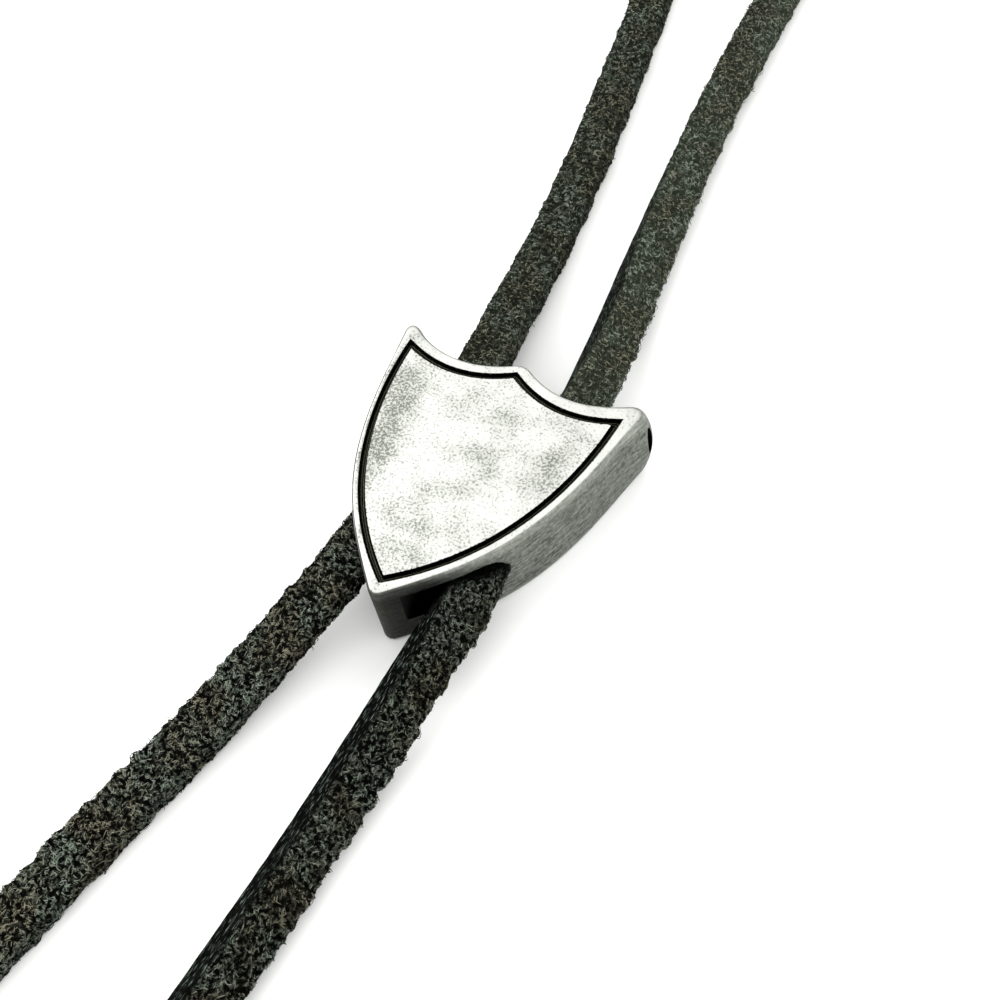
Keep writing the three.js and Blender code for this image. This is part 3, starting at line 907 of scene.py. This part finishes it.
def antiqued_silver():
    """Silver-plated zinc casting, blackened all over and then buffed by hand. The buffed face and
    rim are pale and satin, with dark specks where the black stays in the casting's fine pits; the
    walls, which the wheel hardly reached, are a streaky mid grey, with a painted reflection of the
    table lightening their upper edge and their foot, and dark patina with painted shade towards
    the point; and the slot and the engraved line stay black."""
    material, tree = new_material("antiqued_silver_plate")
    place = millimetres(tree)
    x_y_z = add(tree, "SeparateXYZ", {0: place}, out="Z").node
    height, up_shield = x_y_z.outputs["Z"], x_y_z.outputs["Y"]
    tarnish, across, in_slot = (
        add(tree, "Attribute", out="Fac", attribute_name=name)
        for name in ("tarnish", "across_line", "in_slot")
    )

    # Pits are 0.1 to 0.25 mm across. Greyed places have more of them, and a thin grey film.
    pits = add(tree, "TexNoise", {"Vector": place, "Scale": 4.6, "Detail": 3.0, "Roughness": 0.65})
    clouds = add(tree, "TexNoise", {"Vector": place, "Scale": 0.5, "Detail": 3.0})
    greyed = add(tree, "MapRange", {0: clouds, 1: 0.3, 2: 0.7, 4: 0.5})
    greyed = add(tree, "Math", {0: greyed, 1: tarnish}, operation="ADD", use_clamp=True)
    least = add(tree, "MapRange", {0: greyed, 3: 0.57, 4: 0.4})
    on_rim = add(tree, "MapRange", {0: across, 1: 1.0, 2: 1.5, 4: 0.04})
    least = add(tree, "Math", {0: least, 1: on_rim}, operation="ADD")
    most = add(tree, "Math", {0: least, 1: 0.13}, operation="ADD")
    speck = add(tree, "MapRange", {0: pits, 1: least, 2: most}, interpolation_type="SMOOTHSTEP")
    film = add(tree, "Math", {0: greyed, 1: 0.55}, operation="MULTIPLY")
    face = add(tree, "MixRGB", {"Fac": film, "Color1": "#cacbc6", "Color2": "#8c8f88"})
    pit = add(tree, "MixRGB", {"Fac": greyed, "Color1": "#9fa19a", "Color2": "#6c6e66"})
    face = add(tree, "MixRGB", {"Fac": speck, "Color1": face, "Color2": pit})

    # The rubbing marks along the walls are 0.1 to 0.3 mm wide and one to two millimetres long.
    lengthwise = add(tree, "VectorMath", {0: place, 1: (0.7, 0.7, 5.0)}, operation="MULTIPLY")
    inputs = {"Vector": lengthwise, "Scale": 1.0, "Detail": 4.0, "Distortion": 0.8}
    marks = add(tree, "TexNoise", inputs)
    mottle = add(tree, "TexNoise", {"Vector": place, "Scale": 3.0, "Detail": 4.0, "Roughness": 0.65})
    streaky = add(tree, "Math", {0: marks, 1: mottle}, operation="ADD")
    streaky = add(tree, "MapRange", {0: streaky, 1: 0.75, 2: 1.25})
    wall = add(tree, "MixRGB", {"Fac": streaky, "Color1": "#3c3e39", "Color2": "#8b8f87"})
    # Painted reflection: the wall's foot, below 0.8 mm, is lightened as if it mirrored the bright
    # table.
    foot_reflection = add(tree, "MapRange", {0: height, 1: 0.8, 2: 0.2, 4: 0.5})
    wall = add(tree, "MixRGB", {"Fac": foot_reflection, "Color1": wall, "Color2": "#b4b7b0"})
    # Towards the point the wall darkens: partly dark patina, and partly painted shade and a painted
    # reflection of the black lace beside it; darkest by the opening.
    tip = add(tree, "MapRange", {0: up_shield, 1: 5.0, 2: 1.5, 4: 0.9})
    by_opening = add(tree, "MapRange", {0: up_shield, 1: -1.15, 2: -0.2})
    tip_patina_and_shade = add(tree, "MixRGB", {"Fac": by_opening, "Color1": "#2b2921", "Color2": "#070605"})
    wall = add(tree, "MixRGB", {"Fac": tip, "Color1": wall, "Color2": tip_patina_and_shade})
    # Painted reflection: from 6.5 mm up, the wall's upper edge is lightened as if it mirrored the lit
    # table further out, less so towards the point.
    upper_edge_reflection = add(tree, "MapRange", {0: height, 1: 6.5, 2: 7.4, 4: 0.85})
    off_tip = add(tree, "MapRange", {0: up_shield, 1: 1.5, 2: 5.0, 3: 0.25})
    upper_edge_reflection = add(tree, "Math", {0: upper_edge_reflection, 1: off_tip}, operation="MULTIPLY")
    reflecting_band = add(tree, "MixRGB", {"Fac": streaky, "Color1": "#777a73", "Color2": "#a2a59e"})
    wall = add(tree, "MixRGB", {"Fac": upper_edge_reflection, "Color1": wall, "Color2": reflecting_band})

    normal = add(tree, "NewGeometry", out="Normal")
    facing_up = add(tree, "SeparateXYZ", {0: normal}, out="Z")
    buffed = add(tree, "MapRange", {0: facing_up, 1: 0.9, 2: 0.995})
    plate = add(tree, "MixRGB", {"Fac": buffed, "Color1": wall, "Color2": face})

    # The engraved line: black, with a dim brown shine along both sides of its floor.
    ragged = add(tree, "MapRange", {0: pits, 3: -0.35, 4: 0.35})
    across = add(tree, "Math", {0: across, 1: ragged}, operation="ADD")
    off_line = add(tree, "Math", {0: across}, operation="ABSOLUTE")
    off_glint = add(tree, "Math", {0: off_line, 1: 0.28}, operation="SUBTRACT")
    off_glint = add(tree, "Math", {0: off_glint}, operation="ABSOLUTE")
    glint = add(tree, "MapRange", {0: off_glint, 1: 0.17, 2: 0.04})
    line = add(tree, "MixRGB", {"Fac": glint, "Color1": "#050504", "Color2": "#34352a"})
    in_line = add(tree, "MapRange", {0: off_line, 1: 1.08, 2: 0.94})
    colour = add(tree, "MixRGB", {"Fac": in_line, "Color1": plate, "Color2": line})
    colour = add(tree, "MixRGB", {"Fac": in_slot, "Color1": colour, "Color2": "#040403"})

    rough = add(tree, "MapRange", {0: pits, 3: 0.22, 4: 0.55})
    rough = add(tree, "MixRGB", {"Fac": buffed, "Color1": "#c8c8c8", "Color2": rough})
    grain = add(tree, "Math", {0: pits, 1: marks}, operation="ADD")
    bump = add(tree, "Bump", {"Height": grain, "Strength": 0.35, "Distance": 0.05 * MM})
    inputs = {"Base Color": colour, "Roughness": rough, "Metallic": 1.0, "Normal": bump}
    shader = add(tree, "BsdfPrincipled", inputs)
    add(tree, "OutputMaterial", {"Surface": shader})
    return material


def uneven_dye(tree, place):
    """Black dye takes unevenly: patches some millimetres wide lean to green-grey or to brown."""
    patches = add(tree, "TexNoise", {"Vector": place, "Scale": 0.25})
    return add(tree, "MapRange", {0: patches, 1: 0.43, 2: 0.6})


def paler_upper_strands(tree, place):
    """The strands above the shield, worn at the neck, have lost more of their black than the tails;
    the right one is paler than the left."""
    x_y_z = add(tree, "SeparateXYZ", {0: place}, out="Z").node
    upper = add(tree, "MapRange", {0: x_y_z.outputs["Y"], 1: 5.0, 2: 20.0})
    right = add(tree, "MapRange", {0: x_y_z.outputs["X"], 1: -5.0, 2: 0.0, 3: 0.4})
    return add(tree, "Math", {0: upper, 1: right}, operation="MULTIPLY")


def tufts(tree, place):
    """The nap stands in small tufts, a third of a millimetre across: pale on their tops and dark
    between them."""
    lumps = add(tree, "TexNoise", {"Vector": place, "Scale": 2.7, "Detail": 1.5, "Distortion": 0.3})
    return add(tree, "MapRange", {0: lumps, 1: 0.44, 2: 0.56})


def split_suede():
    """Black-dyed split leather under its nap. It is matt, and dark between the matted fibres; its
    cut side is smoother and nearly black, with pale hairlines along it."""
    material, tree = new_material("black_split_leather")
    place = millimetres(tree)
    along, around, cut, slide_shade = (
        add(tree, "Attribute", out="Fac", attribute_name=name)
        for name in ("along", "around", "cut", "slide_shade")
    )
    brown = uneven_dye(tree, place)

    # Matted fibres: curly lines 0.1 mm wide, drawn where a noise passes through its middle value.
    tangle = 0.0
    for per_mm, seed in ((1.3, 3.0), (1.9, 17.0), (2.6, 41.0)):
        offset = add(tree, "VectorMath", {0: place, 1: (seed, seed, 0.0)}, operation="ADD")
        inputs = {"Vector": offset, "Scale": per_mm, "Detail": 1.0, "Distortion": 0.7}
        fibre = add(tree, "TexNoise", inputs)
        off_middle = add(tree, "Math", {0: fibre, 1: 0.5}, operation="SUBTRACT")
        off_middle = add(tree, "Math", {0: off_middle}, operation="ABSOLUTE")
        on_fibre = add(tree, "MapRange", {0: off_middle, 1: 0.05, 2: 0.01})
        tangle = add(tree, "Math", {0: tangle, 1: on_fibre}, operation="MAXIMUM")
    fine = add(tree, "TexNoise", {"Vector": place, "Scale": 5.0, "Detail": 3.0, "Roughness": 0.7})
    rubbed = add(tree, "MapRange", {0: fine, 1: 0.4, 2: 0.65, 3: 0.15})
    tangle = add(tree, "Math", {0: tangle, 1: rubbed}, operation="MULTIPLY")
    seen = add(tree, "Math", {0: tangle, 1: tufts(tree, place)}, operation="MULTIPLY")
    ground = add(tree, "MixRGB", {"Fac": paler_upper_strands(tree, place), "Color1": "#030403", "Color2": "#2a2f25"})
    napped = add(tree, "MixRGB", {"Fac": seen, "Color1": ground, "Color2": "#687062"})
    brown_share = add(tree, "Math", {0: brown, 1: 0.4}, operation="MULTIPLY")
    napped = add(tree, "MixRGB", {"Fac": brown_share, "Color1": napped, "Color2": "#14120d"})

    # Hairlines on the cut side are 0.1 mm wide and about 0.7 mm long.
    along = add(tree, "Math", {0: along, 1: 1.4}, operation="MULTIPLY")
    around = add(tree, "Math", {0: around, 1: 7.0}, operation="MULTIPLY")
    strip = add(tree, "CombineXYZ", {0: along, 1: around})
    hairs = add(tree, "TexNoise", {"Vector": strip, "Scale": 1.0, "Detail": 3.0, "Distortion": 0.4})
    shine = add(tree, "MapRange", {0: hairs, 1: 0.57, 2: 0.68})
    cut_face = add(tree, "MixRGB", {"Fac": shine, "Color1": "#020302", "Color2": "#606a63"})

    colour = add(tree, "MixRGB", {"Fac": cut, "Color1": napped, "Color2": cut_face})
    # Painted shade: in the slide and just out of it, the lace is darkened to near black.
    colour = add(tree, "MixRGB", {"Fac": slide_shade, "Color1": colour, "Color2": "#020302"})
    bump = add(tree, "Bump", {"Height": tangle, "Strength": 0.8, "Distance": 0.08 * MM})
    inputs = {"Base Color": colour, "Roughness": 0.8, "IOR": 1.5, "Specular IOR Level": 0.02}
    shader = add(tree, "BsdfPrincipled", {**inputs, "Normal": bump})
    add(tree, "OutputMaterial", {"Surface": shader})
    return material


def suede_fibres():
    """The raised fibres of the split leather: dark where the dye has held, and a pale green-grey or
    ochre where it has rubbed off, which gives the lace its tangled, dusty look. Their tone also
    carries painted shade on the lace's edges and by the slide, and painted light, most on the left
    tail."""
    material, tree = new_material("suede_fibres")
    place = millimetres(tree)
    brown = uneven_dye(tree, place)
    tone = add(tree, "Attribute", out="Fac", attribute_name="tone")
    rubbed = add(tree, "Math", {0: tone, 1: tufts(tree, place)}, operation="MULTIPLY")
    ground = add(tree, "MixRGB", {"Fac": paler_upper_strands(tree, place), "Color1": "#040503", "Color2": "#363c32"})
    green = add(tree, "MixRGB", {"Fac": rubbed, "Color1": ground, "Color2": "#8d988a"})
    ochre = add(tree, "MixRGB", {"Fac": rubbed, "Color1": ground, "Color2": "#8c8875"})
    colour = add(tree, "MixRGB", {"Fac": brown, "Color1": green, "Color2": ochre})
    inputs = {"Base Color": colour, "Roughness": 0.8, "IOR": 1.5, "Specular IOR Level": 0.03}
    shader = add(tree, "BsdfPrincipled", inputs)
    add(tree, "OutputMaterial", {"Surface": shader})
    return material


def white_card():
    """Matt white card, a touch uneven in its whiteness."""
    material, tree = new_material("white_card")
    cast = add(tree, "TexNoise", {"Vector": millimetres(tree), "Scale": 0.02, "Detail": 1.0})
    shade = add(tree, "MixRGB", {"Fac": cast, "Color1": "#f7f8f6", "Color2": "#fafaf8"})
    shader = add(tree, "BsdfPrincipled", {"Base Color": shade, "Roughness": 0.9, "IOR": 1.45})
    add(tree, "OutputMaterial", {"Surface": shader})
    return material


# ---- Table, light and camera ----


def table_top():
    half = 6.0  # metres
    corners = [(-half, -half, 0), (half, -half, 0), (half, half, 0), (-half, half, 0)]
    mesh = bpy.data.meshes.new("table")
    mesh.from_pydata(corners, [], [(0, 1, 2, 3)])
    mesh.materials.append(white_card())
    in_scene("table", mesh)


def soft_light():
    """A white room, brightest overhead and dimmer towards the horizon, with one broad lamp on the
    left that draws the soft shadows."""
    world = bpy.data.worlds.new("white_room")
    world.use_nodes = True
    tree = world.node_tree
    tree.nodes.clear()
    direction = add(tree, "TexCoord", out="Generated")
    upwards = add(tree, "SeparateXYZ", {0: direction}, out="Z")
    strength = add(tree, "MapRange", {0: upwards, 1: 0.05, 2: 0.5, 3: 0.62, 4: 1.76})
    back = add(tree, "Background", {"Color": "#ffffff", "Strength": strength})
    add(tree, "OutputWorld", {"Surface": back})
    bpy.context.scene.world = world

    lamp = bpy.data.lights.new("broad_lamp", "AREA")
    lamp.shape = "SQUARE"
    lamp.size = 0.25
    lamp.energy = 1.3
    shield_middle = HOME + Vector((0, 0.012, 0))
    distance = 0.7
    away = Vector((-0.75, 0.2, 0.65)).normalized()
    holder = bpy.data.objects.new("broad_lamp", lamp)
    holder.location = shield_middle + away * distance
    holder.rotation_euler = away.to_track_quat("Z", "Y").to_euler()
    bpy.context.scene.collection.objects.link(holder)


def camera():
    """Close above the shield's lower right, looking over it to the upper left."""
    lens = bpy.data.cameras.new("camera")
    lens.sensor_width = 36
    lens.lens = 46.6
    lens.clip_start = 0.005
    lens.clip_end = 50
    eye = bpy.data.objects.new("camera", lens)
    eye.location = HOME + Vector((38.21, -32.39, 91.89)) * MM
    eye.rotation_euler = Euler([math.radians(turn) for turn in (32.386, 5.817, 28.971)])
    bpy.context.scene.collection.objects.link(eye)
    bpy.context.scene.camera = eye


# ---- Putting the necklace together ----


def dress(piece, material):
    """Gives a piece its material, and puts it on the body."""
    piece.data.materials.clear()
    piece.data.materials.append(material)
    piece.data.shade_smooth()
    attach(piece, "root")
    return piece


def necklace():
    slide = shield_slide()
    mark_finish(slide.data)
    dress(slide, antiqued_silver())
    sharp_from = math.radians(38)
    slide.data.set_sharp_from_angle(angle=sharp_from)
    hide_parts("shield_slide")

    lace = Lace(lace_stations())
    strip = dress(suede_lace(lace), split_suede())
    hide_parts("leather_lace")
    fibres = suede_fibres()
    for seed, row in enumerate(NAP, start=100):
        dress(nap_piece(lace, row, seed), fibres)


necklace()
table_top()
soft_light()
camera()
bpy.context.scene.view_settings.view_transform = "Standard"
